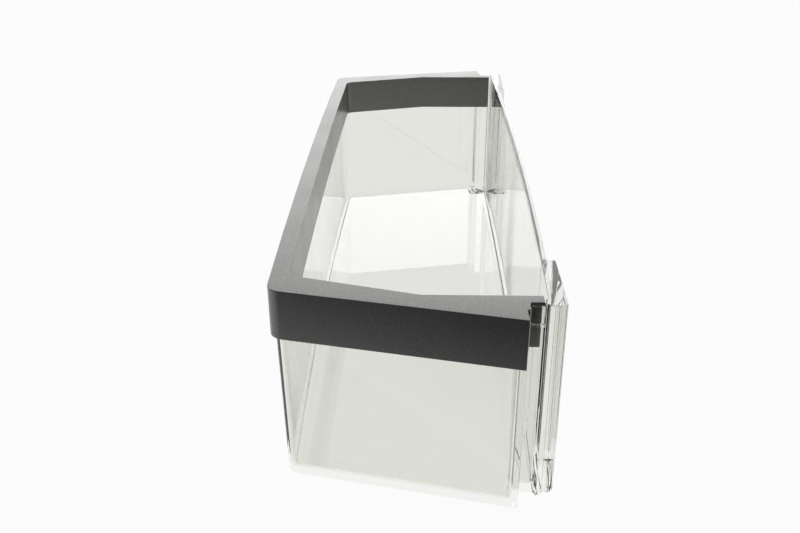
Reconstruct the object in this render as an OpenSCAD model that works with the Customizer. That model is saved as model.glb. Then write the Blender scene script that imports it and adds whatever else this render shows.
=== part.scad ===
// Bottle shelf for a fridge door: a clear moulded tray under a grey trim frame.
// X runs along the shelf, the front faces -Y, the door liner is behind +Y.

/* [Tray] */
// Length over the flared rear edges of the end walls, at the rim
tray_l = 395.2; // [300:0.2:520]
// Depth from the front corners to the outside of the back wall, at the ends
tray_d = 118; // [95:0.5:160]
// Height from the underside to the top of the back wall, level with the top of the trim
tray_h = 98.5; // [60:0.5:140]
// How far each end wall flares out from the front corner to its rear edge
flare = 23.5; // [6:0.1:40]
// Thickness of the walls
wall = 2.3; // [2:0.1:3.2]
// Thickness of the floor
floor_t = 2.5; // [1.6:0.1:4]
// How far the front wall leans in from the rim to the underside, at the corners
front_lean = 1.9; // [0.4:0.1:4]
// How far each end wall leans in from the rim to the underside
end_lean = 1.2; // [0.4:0.1:3]
// How far the middle of the front bows out at the rim
front_bow = 1.9; // [0.5:0.1:6]
// How far the middle of the front bows out at the underside
front_foot_bow = 3; // [0.5:0.1:6]
// How far the middle of the back wall bows out at the rim
back_bow = 3.2; // [0.5:0.1:4.5]
// How far the middle of the back wall bows out at the underside
back_foot_bow = 1.9; // [0.5:0.1:4.5]
// Radius of the upright front corners
corner_r = 5; // [3.5:0.5:12]
// Radius of the outer edge of the underside
foot_r = 1.8; // [0.6:0.1:1.8]
// Radius between the floor and the walls inside
floor_r = 4; // [1:0.5:8]

/* [End recesses] */
// Depth of each recess at its open side, measured forward from the outside of the back wall
recess_d = 11.2; // [8:0.1:16]
// How much further back the recess starts at its inner side
recess_skew = 1.8; // [0:0.1:3]
// How far each recess steps in from the flared rear edge
recess_w = 12.7; // [9:0.1:18]
// Radius of the upright corners inside the tray
inside_r = 3; // [1:0.5:6]
// How far the back wall stands out past the recess
lip = 2.8; // [1:0.1:4]
// Radius of the catch ridge across each recess
catch_r = 0.9; // [0.5:0.1:1.5]
// Height of the catch ridge above the underside
catch_z = 88; // [40:0.1:120]

/* [Rear pads] */
// Length of each pad
pad_l = 43; // [20:0.2:80]
// Thickness of each pad
pad_t = 5.3; // [5:0.1:9]
// How far each pad stops short of the end of the back wall
pad_inset = 0.4; // [0.2:0.1:3]
// Radius of the pads' upright edges
pad_r = 1.5; // [0.5:0.1:2.4]
// Height of the pads' underside above the base
pad_lift = 2.6; // [0.5:0.1:10]

/* [Trim frame] */
// Thickness of the flat rim
rim_t = 1.5; // [1:0.1:3]
// Thickness of the two skirts
skirt_t = 1.6; // [1:0.1:2.5]
// Height of the trim from the lower edge of its skirts to its top
skirt_h = 23.5; // [12:0.1:45]
// Gap between the outer skirt and the top of the tray's walls
fit_gap = 0.4; // [0.2:0.05:0.8]
// Width of the rim along the front
front_rim = 8.1; // [7:0.1:14]
// Width of the rim over each end at the front corner
end_rim = 14.1; // [9:0.1:20]
// How far the rim reaches in past the outside of the recess wall
rim_lap = 6.5; // [5:0.1:12]
// Distance back from the front corner at which the inner edge turns square
rim_bend = 65; // [30:0.5:80]
// How far the outer part of the rim stops short of the recess
rim_end_gap = 0.5; // [0.2:0.1:3]
// Width of the part of the rim that reaches back to the recess
rim_tab = 6.2; // [3:0.1:10]
// Gap between the rear ends of the inner skirt and the back wall
skirt_end_gap = 1.6; // [0.5:0.1:5]
// Radius of the rim's inner front corners
inner_r = 5; // [2:0.5:10]

/* [Hidden] */
$fn = 32;

curve_steps = 12;
arc_steps = 4;
fillet_steps = 4;

// The outside of the trim stands this far out from the outside of the tray's rim
trim_out = skirt_t + fit_gap;
trim_corner_r = corner_r + trim_out;

// Places along Y, with the whole part's depth centred on the origin
whole_d = front_bow + trim_out + tray_d + pad_t;
trim_front_y = front_bow - whole_d / 2;
front_y = trim_front_y + trim_out;
back_y = front_y + tray_d;
recess_y = back_y - recess_d;

// Half lengths along X of the tray's rim
flare_x = tray_l / 2;
front_x = flare_x - flare;
recess_x = flare_x - recess_w;
back_x = recess_x + lip;
// Outward run of the end walls for each millimetre towards the back
slope = flare / (recess_y - front_y);
// X moved by each millimetre that an end wall is offset square to itself
slant = sqrt(1 + slope * slope);

// The front and end walls stop at the underside of the rim
seat_z = tray_h - rim_t;
// The walls lean up to this height, and all solids are drawn up to over_z and cut off at the top
upright_z = seat_z - 5;
over_z = tray_h + 5;
skirt_z = tray_h - skirt_h;
rim_end_y = back_y - wall - skirt_end_gap;
rim_square_x = recess_x - rim_lap;
// Rounding of the sharp upright edges
edge_r = 0.5;

// Half length of the tray's flared outline at a distance y back, offset inwards by inset
function end_x(y, inset) = front_x + slope * (y - front_y) - inset * slant;

function unit(v) = v / norm(v);

// Points of an arc of radius r that rounds the corner b between a and c
function corner_arc(a, b, c, r) =
    let (
        u = unit(a - b),
        v = unit(c - b),
        half = acos(u * v) / 2,
        centre = b + unit(u + v) * r / sin(half),
        start = b + u * r / tan(half) - centre,
        turn = (u.x * v.y - u.y * v.x > 0 ? -1 : 1) * (180 - 2 * half)
    )
    [for (i = [0:arc_steps])
        let (t = turn * i / arc_steps)
        centre + [start.x * cos(t) - start.y * sin(t), start.x * sin(t) + start.y * cos(t)]];

// Points along a bowed edge from -half to half at y, its middle moved by bow
function bowed(half, y, bow) =
    [for (i = [0:curve_steps])
        let (x = half * (2 * i / curve_steps - 1))
        [x, y + bow * (1 - x * x / half / half)]];

function reversed(points) = [for (i = [len(points) - 1:-1:0]) points[i]];
function inner(points) = [for (i = [1:len(points) - 2]) points[i]];
function mirrored(points) = [for (p = reversed(points)) [-p.x, p.y]];

// A path along the left end, the bowed front and the right end, its corners rounded
function u_path(rear, half, y, bow, r) =
    let (
        front = bowed(half, y, -bow),
        n = len(front) - 1,
        right = corner_arc(front[n - 1], front[n], rear[0], r)
    )
    concat(
        mirrored(rear),
        mirrored(right),
        inner(front),
        right,
        rear);

// A closed solid through rings [z, points] that all have the same number of points
module loft(rings) {
    n = len(rings[0][1]);
    last = (len(rings) - 1) * n;
    polyhedron(
        [for (ring = rings) for (p = ring[1]) [p.x, p.y, ring[0]]],
        concat(
            [[for (i = [0:n - 1]) i]],
            [for (k = [0:len(rings) - 2], i = [0:n - 1], half = [0, 1])
                let (a = k * n + i, b = k * n + (i + 1) % n)
                half == 0 ? [a, b + n, b] : [a, a + n, b + n]],
            [[for (i = [n - 1:-1:0]) last + i]]));
}

// Levels [z, inset] from z0 up through the heights in tops, the first ones rounding the foot to r
function levels(z0, r, tops) = concat(
    [for (i = [0:fillet_steps])
        let (a = 90 * i / fillet_steps)
        [z0 + r * (1 - cos(a)), r * (1 - sin(a))]],
    [for (z = tops) [z, 0]]);

// How much of the lean is left at height z
function lean(z) = max(0, 1 - z / upright_z);

// The tray in plan at height z, offset inwards by inset, with front_r and rear_r on the corners
// of its flared part; corner holds the points from the recess to the right end of the back
function tray_plan(z, inset, front_r, rear_r, corner) =
    let (
        e = inset + end_lean * lean(z),
        y = front_y + inset + front_lean * lean(z),
        front = bowed(end_x(y, e), y, -front_bow + (front_bow - front_foot_bow) * lean(z)),
        rear = [end_x(recess_y - inset, e), recess_y - inset],
        root = [recess_x - inset, rear.y + recess_skew],
        end = corner[len(corner) - 1],
        back = bowed(end.x, end.y, back_bow + (back_foot_bow - back_bow) * lean(z)),
        right = concat(
            corner_arc(front[curve_steps - 1], front[curve_steps], rear, front_r),
            corner_arc(front[curve_steps], rear, root, rear_r),
            [root],
            corner)
    )
    concat(mirrored(right), inner(front), right, reversed(inner(back)));

// The end of the back wall past the recess, with a hollow fillet towards the recess wall
function lip_corner(inset) =
    let (x = recess_x - inset + lip, y = back_y - wall)
    concat(
        [for (i = [0:arc_steps])
            let (t = 90 * i / arc_steps)
            [x - lip * cos(t), y - lip + lip * sin(t)]],
        [[x, back_y - inset]]);

// The rounded corner between the recess wall and the back wall inside the tray
function inside_corner(inset, r) =
    let (x = recess_x - inset, y = back_y - inset)
    corner_arc([x, recess_y], [x, y], [0, y], r);

module both_ends() {
    children();
    mirror([1, 0, 0]) children();
}

// The outside of the tray with its pads and ridges
module tray_body() {
    loft([for (v = levels(0, foot_r, [upright_z, over_z]))
        [v[0], tray_plan(v[0], v[1], corner_r - v[1], edge_r, lip_corner(v[1]))]]);
    both_ends() {
        rear_pad();
        catch_ridge();
    }
}

// The solid pad at the end of the back wall that stands against the door liner
module rear_pad() {
    outer_x = back_x - pad_inset;
    inner_x = outer_x - pad_l;
    inner_y = back_y - wall / 4;
    loft([for (v = levels(pad_lift, pad_r, [over_z]))
        let (y = back_y + pad_t - v[1])
        [v[0], concat(
            [[inner_x, inner_y], [outer_x, inner_y]],
            corner_arc([outer_x, inner_y], [outer_x, y], [inner_x, y], pad_r),
            corner_arc([outer_x, y], [inner_x, y], [inner_x, inner_y], pad_r))]]);
}

// The ridge across the recess wall that snaps behind the rib of the door liner
module catch_ridge() {
    start_y = recess_y + recess_skew - wall / 2;
    end_y = back_y - wall / 2;
    translate([recess_x - catch_r / 3, end_y, catch_z])
        rotate([90, 0, 0])
            cylinder(r = catch_r, h = end_y - start_y);
}

// The inside of the tray, open at the top
module tray_cavity() {
    loft([for (v = levels(floor_t, floor_r, [upright_z, over_z + 1]))
        let (inset = wall + v[1], r = max(inside_r - v[1], edge_r))
        [v[0], tray_plan(v[0], inset, max(corner_r - inset, edge_r), r, inside_corner(inset, r))]]);
}

// What is cut off the top: all above the back wall, and the seat of the rim on the other walls
module above_walls() {
    width = 2 * tray_l;
    translate([-tray_l, -tray_d, tray_h]) cube([width, 2 * tray_d, tray_h]);
    translate([-tray_l, -tray_d, seat_z]) cube([width, tray_d + rim_end_y + fit_gap, tray_h]);
}

module tray() {
    color([0.9, 0.91, 0.88, 0.45])
        difference() {
            tray_body();
            tray_cavity();
            above_walls();
        }
}

// The trim's outer outline, offset inwards, from its left rear end to its right rear end
function trim_outer(inset) =
    let (e = inset - trim_out, end_y = recess_y - rim_end_gap)
    u_path([[end_x(end_y, e), end_y]],
        end_x(front_y + e, e), front_y + e, front_bow, trim_corner_r - inset);

// The trim's inner edge, moved outwards by grow, from its left rear end to its right rear end
function trim_inner(grow) =
    let (corner_y = trim_front_y + front_rim - grow)
    u_path([[rim_square_x + grow, trim_front_y + rim_bend], [rim_square_x + grow, rim_end_y]],
        end_x(trim_front_y, -trim_out) - end_rim + grow * slant,
        corner_y, front_bow * 0.8, inner_r + grow);

// The step of the rim's rear end round the recess on the right
function rim_step() =
    let (
        y0 = recess_y - rim_end_gap,
        x0 = recess_x - fit_gap,
        y2 = recess_y + recess_skew - fit_gap,
        y1 = y2 - recess_skew * rim_tab / recess_w
    )
    [[x0 + rim_tab, y0], [x0 + rim_tab, y1], [x0, y2], [x0, rim_end_y]];

module rim() {
    translate([0, 0, seat_z])
        linear_extrude(rim_t)
            polygon(concat(trim_outer(0), rim_step(), reversed(trim_inner(0)), mirrored(rim_step())));
}

module skirts() {
    translate([0, 0, skirt_z])
        linear_extrude(skirt_h - rim_t / 2) {
            polygon(concat(trim_outer(0), reversed(trim_outer(skirt_t))));
            polygon(concat(trim_inner(skirt_t), reversed(trim_inner(0))));
        }
}

module trim_frame() {
    color([0.55, 0.55, 0.54]) {
        rim();
        skirts();
    }
}

tray();
trim_frame();
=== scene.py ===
from math import cos, sin, radians

import bmesh
import bpy
from mathutils import Matrix, Vector


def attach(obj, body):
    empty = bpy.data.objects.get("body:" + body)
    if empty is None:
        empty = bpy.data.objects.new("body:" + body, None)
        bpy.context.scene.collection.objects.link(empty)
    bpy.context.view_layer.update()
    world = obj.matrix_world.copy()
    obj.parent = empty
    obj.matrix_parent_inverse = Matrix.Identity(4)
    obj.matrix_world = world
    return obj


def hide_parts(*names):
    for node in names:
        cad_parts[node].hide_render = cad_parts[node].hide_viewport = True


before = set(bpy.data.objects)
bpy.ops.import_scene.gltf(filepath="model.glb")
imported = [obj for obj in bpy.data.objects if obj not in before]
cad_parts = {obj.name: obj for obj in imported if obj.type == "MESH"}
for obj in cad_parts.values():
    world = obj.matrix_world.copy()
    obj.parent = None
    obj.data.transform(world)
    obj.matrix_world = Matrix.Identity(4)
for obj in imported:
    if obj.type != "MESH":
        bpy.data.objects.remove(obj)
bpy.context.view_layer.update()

# Clear bottle shelf for a fridge door under its grey trim frame, on a plain white table


def newMaterial(name):
    material = bpy.data.materials.new(name)
    material.use_nodes = True
    material.node_tree.nodes.clear()
    return material, material.node_tree


def addNode(tree, kind, inputs=None, **values):
    node = tree.nodes.new(kind)
    for key, value in values.items():
        setattr(node, key, value)
    for key, value in (inputs or {}).items():
        node.inputs[key].default_value = value
    return node


def addSockets(group, direction, sockets):
    for name, kind in sockets:
        group.interface.new_socket(name, in_out=direction, socket_type="NodeSocket" + kind)


# Moulded plastic: fine flecks, slow waves in the skin and faint scratches from use
finishScales = {
    "fleck": 2400.0,
    "wave": 34.0,
    "scratch": 26.0,
    "scratchStretch": (1.0, 16.0, 3.0),
    "fleckRange": {"From Min": 0.36, "From Max": 0.66},
    "waveRange": {"From Min": 0.3, "From Max": 0.7},
    "scratchRange": {"From Min": 0.66, "From Max": 0.74},
}


def makeMouldedFinish():
    group = bpy.data.node_groups.new("mouldedFinish", "ShaderNodeTree")
    addSockets(group, "INPUT", (
        ("Base", "Color"), ("Fleck", "Color"), ("Fleck Amount", "Float"),
        ("Rough Low", "Float"), ("Rough High", "Float"), ("Scratch Rough", "Float"),
        ("Fleck Height", "Float"), ("Wave Height", "Float")))
    addSockets(group, "OUTPUT", (("Color", "Color"), ("Roughness", "Float"), ("Height", "Float")))
    link = group.links.new
    start = addNode(group, "NodeGroupInput")
    end = addNode(group, "NodeGroupOutput")
    place = addNode(group, "ShaderNodeTexCoord")
    fleck = addNode(group, "ShaderNodeTexNoise", {"Scale": finishScales["fleck"], "Detail": 1.0})
    wave = addNode(group, "ShaderNodeTexNoise", {"Scale": finishScales["wave"], "Detail": 3.0})
    stretch = addNode(group, "ShaderNodeMapping", {"Scale": finishScales["scratchStretch"]})
    scratch = addNode(group, "ShaderNodeTexNoise", {"Scale": finishScales["scratch"], "Detail": 6.0})
    link(place.outputs["Object"], fleck.inputs["Vector"])
    link(place.outputs["Object"], wave.inputs["Vector"])
    link(place.outputs["Object"], stretch.inputs["Vector"])
    link(stretch.outputs["Vector"], scratch.inputs["Vector"])
    fleckMask = addNode(group, "ShaderNodeMapRange", finishScales["fleckRange"])
    link(fleck.outputs["Fac"], fleckMask.inputs["Value"])
    share = addNode(group, "ShaderNodeMath", operation="MULTIPLY")
    link(fleckMask.outputs["Result"], share.inputs[0])
    link(start.outputs["Fleck Amount"], share.inputs[1])
    tint = addNode(group, "ShaderNodeMix", data_type="RGBA")
    link(share.outputs["Value"], tint.inputs["Factor"])
    link(start.outputs["Base"], tint.inputs["A"])
    link(start.outputs["Fleck"], tint.inputs["B"])
    link(tint.outputs["Result"], end.inputs["Color"])
    rough = addNode(group, "ShaderNodeMapRange", finishScales["waveRange"])
    link(wave.outputs["Fac"], rough.inputs["Value"])
    link(start.outputs["Rough Low"], rough.inputs["To Min"])
    link(start.outputs["Rough High"], rough.inputs["To Max"])
    scratchMask = addNode(group, "ShaderNodeMapRange", finishScales["scratchRange"])
    link(scratch.outputs["Fac"], scratchMask.inputs["Value"])
    worn = addNode(group, "ShaderNodeMath", operation="MULTIPLY_ADD")
    link(scratchMask.outputs["Result"], worn.inputs[0])
    link(start.outputs["Scratch Rough"], worn.inputs[1])
    link(rough.outputs["Result"], worn.inputs[2])
    link(worn.outputs["Value"], end.inputs["Roughness"])
    fine = addNode(group, "ShaderNodeMath", operation="MULTIPLY")
    link(fleck.outputs["Fac"], fine.inputs[0])
    link(start.outputs["Fleck Height"], fine.inputs[1])
    height = addNode(group, "ShaderNodeMath", operation="MULTIPLY_ADD")
    link(wave.outputs["Fac"], height.inputs[0])
    link(start.outputs["Wave Height"], height.inputs[1])
    link(fine.outputs["Value"], height.inputs[2])
    link(height.outputs["Value"], end.inputs["Height"])
    return group


mouldedFinish = makeMouldedFinish()
print("finish group made")


def mouldedMaterial(name, look):
    material, tree = newMaterial(name)
    finish = addNode(tree, "ShaderNodeGroup", node_tree=mouldedFinish)
    for key, value in look["finish"].items():
        finish.inputs[key].default_value = value
    bump = addNode(tree, "ShaderNodeBump", look["bump"])
    shader = addNode(tree, "ShaderNodeBsdfPrincipled", look["shader"])
    output = addNode(tree, "ShaderNodeOutputMaterial")
    tree.links.new(finish.outputs["Color"], shader.inputs["Base Color"])
    tree.links.new(finish.outputs["Roughness"], shader.inputs["Roughness"])
    tree.links.new(finish.outputs["Height"], bump.inputs["Height"])
    tree.links.new(bump.outputs["Normal"], shader.inputs["Normal"])
    tree.links.new(shader.outputs["BSDF"], output.inputs["Surface"])
    return material


# A copy of a node with its flat faces joined, its sharp edges rounded and its shading made even
def mouldedPiece(nodeName, settings):
    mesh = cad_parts[nodeName].data.copy()
    mesh.name = settings["name"]
    bm = bmesh.new()
    bm.from_mesh(mesh)
    bmesh.ops.remove_doubles(bm, verts=bm.verts, dist=settings["merge"])
    bmesh.ops.dissolve_limit(
        bm, angle_limit=radians(settings["flatAngle"]), verts=bm.verts, edges=bm.edges,
        delimit=set())
    limit = radians(settings["sharpAngle"])
    sharp = [edge for edge in bm.edges if edge.is_manifold and edge.calc_face_angle() > limit]
    bmesh.ops.bevel(
        bm, geom=sharp, offset=settings["edgeRadius"], offset_type="OFFSET", affect="EDGES",
        segments=settings["edgeSteps"], profile=0.5, material=-1, clamp_overlap=False)
    bmesh.ops.remove_doubles(bm, verts=bm.verts, dist=settings["merge"])
    bmesh.ops.triangulate(bm, faces=[f for f in bm.faces if len(f.verts) > 4])
    for face in bm.faces:
        face.smooth = True
    openEdges = sum(not edge.is_manifold for edge in bm.edges)
    print(settings["name"], "faces", len(bm.faces), "open edges", openEdges)
    bm.to_mesh(mesh)
    bm.free()
    mesh.materials.clear()
    mesh.materials.append(mouldedMaterial(settings["name"] + "Plastic", settings["look"]))
    piece = bpy.data.objects.new(settings["name"], mesh)
    bpy.context.scene.collection.objects.link(piece)
    weighted = piece.modifiers.new("evenShading", "WEIGHTED_NORMAL")
    weighted.mode = "FACE_AREA_WITH_ANGLE"
    weighted.weight = settings["shadeWeight"]
    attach(piece, "root")
    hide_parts(nodeName)
    return piece


clearTray = {
    "name": "clearTray",
    "slot": "clear_plastic",
    "merge": 2e-6,
    "flatAngle": 0.25,
    "sharpAngle": 40,
    "edgeRadius": 0.00022,
    "edgeSteps": 2,
    "shadeWeight": 90,
    "look": {
        "finish": {
            "Base": (0.80, 0.81, 0.765, 1),
            "Fleck": (0.785, 0.795, 0.75, 1),
            "Fleck Amount": 0.3,
            "Rough Low": 0.01,
            "Rough High": 0.03,
            "Scratch Rough": 0.03,
            "Fleck Height": 0.0,
            "Wave Height": 1.0,
        },
        "bump": {"Strength": 0.04, "Distance": 0.0005},
        "shader": {"IOR": 1.55, "Transmission Weight": 1.0},
    },
}
mouldedPiece("tray", clearTray)
print("tray made")

greyTrim = {
    "name": "greyTrim",
    "slot": "grey_plastic",
    "merge": 2e-6,
    "flatAngle": 0.25,
    "sharpAngle": 40,
    "edgeRadius": 0.0003,
    "edgeSteps": 3,
    "shadeWeight": 90,
    "look": {
        "finish": {
            "Base": (0.15, 0.148, 0.144, 1),
            "Fleck": (0.26, 0.257, 0.25, 1),
            "Fleck Amount": 0.9,
            "Rough Low": 0.27,
            "Rough High": 0.33,
            "Scratch Rough": 0.05,
            "Fleck Height": 0.6,
            "Wave Height": 0.4,
        },
        "bump": {"Strength": 0.1, "Distance": 0.0002},
        "shader": {"IOR": 1.5, "Metallic": 0.45},
    },
}
mouldedPiece("trim_frame", greyTrim)
print("trim made")

# The room is bright above and behind and dim on the camera's side. The camera sees the whole table
# white, and for every other ray its part near the camera is dark
roomSettings = {
    "tableHalf": 12.0,
    "tableColour": (0.62, 0.62, 0.62, 1),
    "tableDark": (0.05, 0.05, 0.06, 1),
    "tableGlow": 0.96,
    "tableEdge": (0.36, 0.21),
    "behind": (-1.0, 0.0, 0.05),
    "skyLevels": (
        (0.0, 0.03), (0.4, 0.05), (0.52, 0.24), (0.85, 0.34), (0.93, 0.46), (0.99, 1.0)),
    "skyStrength": 2.7,
}


def makeTable():
    half = roomSettings["tableHalf"]
    mesh = bpy.data.meshes.new("whiteTable")
    bm = bmesh.new()
    bmesh.ops.create_grid(bm, x_segments=1, y_segments=1, size=half)
    bm.to_mesh(mesh)
    bm.free()
    table = bpy.data.objects.new("whiteTable", mesh)
    bpy.context.scene.collection.objects.link(table)
    material, tree = newMaterial("tableWhite")
    link = tree.links.new
    light = addNode(tree, "ShaderNodeLightPath")
    place = addNode(tree, "ShaderNodeTexCoord")
    split = addNode(tree, "ShaderNodeSeparateXYZ")
    link(place.outputs["Object"], split.inputs["Vector"])
    near, far = roomSettings["tableEdge"]
    edge = addNode(
        tree, "ShaderNodeMapRange",
        {"From Min": near, "From Max": far, "To Min": 0.0, "To Max": 1.0}, interpolation_type="SMOOTHSTEP")
    link(split.outputs["X"], edge.inputs["Value"])
    bounced = addNode(tree, "ShaderNodeMath", operation="MAXIMUM")
    link(light.outputs["Is Glossy Ray"], bounced.inputs[0])
    link(light.outputs["Is Transmission Ray"], bounced.inputs[1])
    lit = addNode(tree, "ShaderNodeMath", operation="MULTIPLY")
    link(bounced.outputs["Value"], lit.inputs[0])
    link(edge.outputs["Result"], lit.inputs[1])
    seen = addNode(tree, "ShaderNodeMath", operation="MAXIMUM")
    link(light.outputs["Is Camera Ray"], seen.inputs[0])
    link(lit.outputs["Value"], seen.inputs[1])
    amount = addNode(tree, "ShaderNodeMath", {1: roomSettings["tableGlow"]}, operation="MULTIPLY")
    link(seen.outputs["Value"], amount.inputs[0])
    plain = addNode(tree, "ShaderNodeBsdfDiffuse", {"Color": roomSettings["tableColour"]})
    # Painted shade: near the camera the table is a dark diffuse, standing in for the dim room on the
    # camera's side
    dark = addNode(tree, "ShaderNodeBsdfDiffuse", {"Color": roomSettings["tableDark"]})
    paintedShadeTable = addNode(tree, "ShaderNodeMixShader")
    link(edge.outputs["Result"], paintedShadeTable.inputs["Fac"])
    link(dark.outputs["BSDF"], paintedShadeTable.inputs[1])
    link(plain.outputs["BSDF"], paintedShadeTable.inputs[2])
    glow = addNode(tree, "ShaderNodeEmission", {"Strength": 1.0})
    mix = addNode(tree, "ShaderNodeMixShader")
    output = addNode(tree, "ShaderNodeOutputMaterial")
    link(amount.outputs["Value"], mix.inputs["Fac"])
    link(paintedShadeTable.outputs["Shader"], mix.inputs[1])
    link(glow.outputs["Emission"], mix.inputs[2])
    link(mix.outputs["Shader"], output.inputs["Surface"])
    mesh.materials.append(material)


def makeWorld():
    world = bpy.data.worlds.new("paleRoom")
    bpy.context.scene.world = world
    world.use_nodes = True
    tree = world.node_tree
    tree.nodes.clear()
    link = tree.links.new
    place = addNode(tree, "ShaderNodeTexCoord")
    toward = addNode(tree, "ShaderNodeVectorMath", {1: roomSettings["behind"]}, operation="DOT_PRODUCT")
    link(place.outputs["Generated"], toward.inputs[0])
    unit = addNode(tree, "ShaderNodeMapRange", {"From Min": -1.0, "From Max": 1.0})
    link(toward.outputs["Value"], unit.inputs["Value"])
    ramp = addNode(tree, "ShaderNodeValToRGB")
    stops = ramp.color_ramp.elements
    for at, level in roomSettings["skyLevels"][1:-1]:
        stops.new(at)
    for stop, (at, level) in zip(stops, roomSettings["skyLevels"]):
        stop.position = at
        stop.color = (level, level, level, 1)
    link(unit.outputs["Result"], ramp.inputs["Fac"])
    sky = addNode(tree, "ShaderNodeBackground", {"Strength": roomSettings["skyStrength"]})
    link(ramp.outputs["Color"], sky.inputs["Color"])
    white = addNode(tree, "ShaderNodeBackground", {"Color": (1, 1, 1, 1), "Strength": 1.0})
    light = addNode(tree, "ShaderNodeLightPath")
    mix = addNode(tree, "ShaderNodeMixShader")
    output = addNode(tree, "ShaderNodeOutputWorld")
    link(light.outputs["Is Camera Ray"], mix.inputs["Fac"])
    link(sky.outputs["Background"], mix.inputs[1])
    link(white.outputs["Background"], mix.inputs[2])
    link(mix.outputs["Shader"], output.inputs["Surface"])


makeTable()
makeWorld()
print("room made")

photoCamera = {
    "place": (0.507649, 0.003755, 0.273455),
    "yaw": -0.0267215,
    "pitch": 0.4574102,
    "roll": -0.0037599,
    "focalPixels": 898.1925,
    "imageWidth": 800,
    "sensor": 36.0,
    "clipStart": 0.01,
    "clipEnd": 60,
}


def makeCamera():
    yaw, pitch, roll = (photoCamera[key] for key in ("yaw", "pitch", "roll"))
    data = bpy.data.cameras.new("photoCamera")
    data.sensor_fit = "HORIZONTAL"
    data.sensor_width = photoCamera["sensor"]
    data.lens = photoCamera["focalPixels"] * photoCamera["sensor"] / photoCamera["imageWidth"]
    data.clip_start = photoCamera["clipStart"]
    data.clip_end = photoCamera["clipEnd"]
    camera = bpy.data.objects.new("photoCamera", data)
    bpy.context.scene.collection.objects.link(camera)
    forward = Vector((-cos(pitch) * cos(yaw), cos(pitch) * sin(yaw), -sin(pitch)))
    right = forward.cross(Vector((0, 0, 1))).normalized()
    up = right.cross(forward)
    across = right * cos(roll) + up * sin(roll)
    over = up * cos(roll) - right * sin(roll)
    turn = Matrix((across, over, -forward)).transposed().to_4x4()
    camera.matrix_world = Matrix.Translation(photoCamera["place"]) @ turn
    bpy.context.scene.camera = camera


makeCamera()
bpy.context.scene.view_settings.view_transform = "Standard"
print("camera set")
